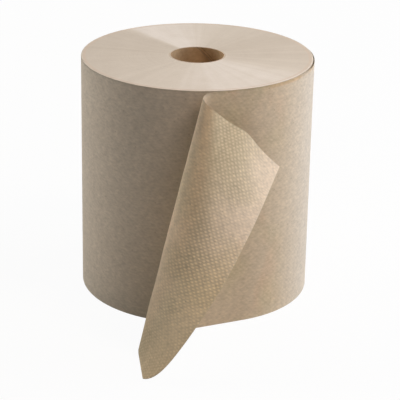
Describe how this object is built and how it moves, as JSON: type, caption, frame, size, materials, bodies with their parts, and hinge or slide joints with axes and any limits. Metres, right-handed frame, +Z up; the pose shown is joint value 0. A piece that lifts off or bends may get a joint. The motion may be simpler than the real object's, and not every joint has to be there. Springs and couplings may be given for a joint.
{
  "type": "paper towel roll",
  "caption": "Hard-wound roll of natural kraft paper towel on a board core, standing on end, its loose end peeled off and folded back.",
  "frame": {"origin": "centre of the core's bore at the end that the roll stands on", "axes": "+Z up along the core's axis; -Y is the front, where the loose end comes off; +X is to the right seen from the front"},
  "size_m": [0.1956, 0.2963, 0.203],
  "materials": {
    "core_board": "matte, spiral-wound grey-brown board",
    "towel_paper": "matte, embossed unbleached crepe"
  },
  "bodies": {
    "root": {"core_tube": "core_board", "paper_web": "towel_paper"}
  },
  "joints": []
}
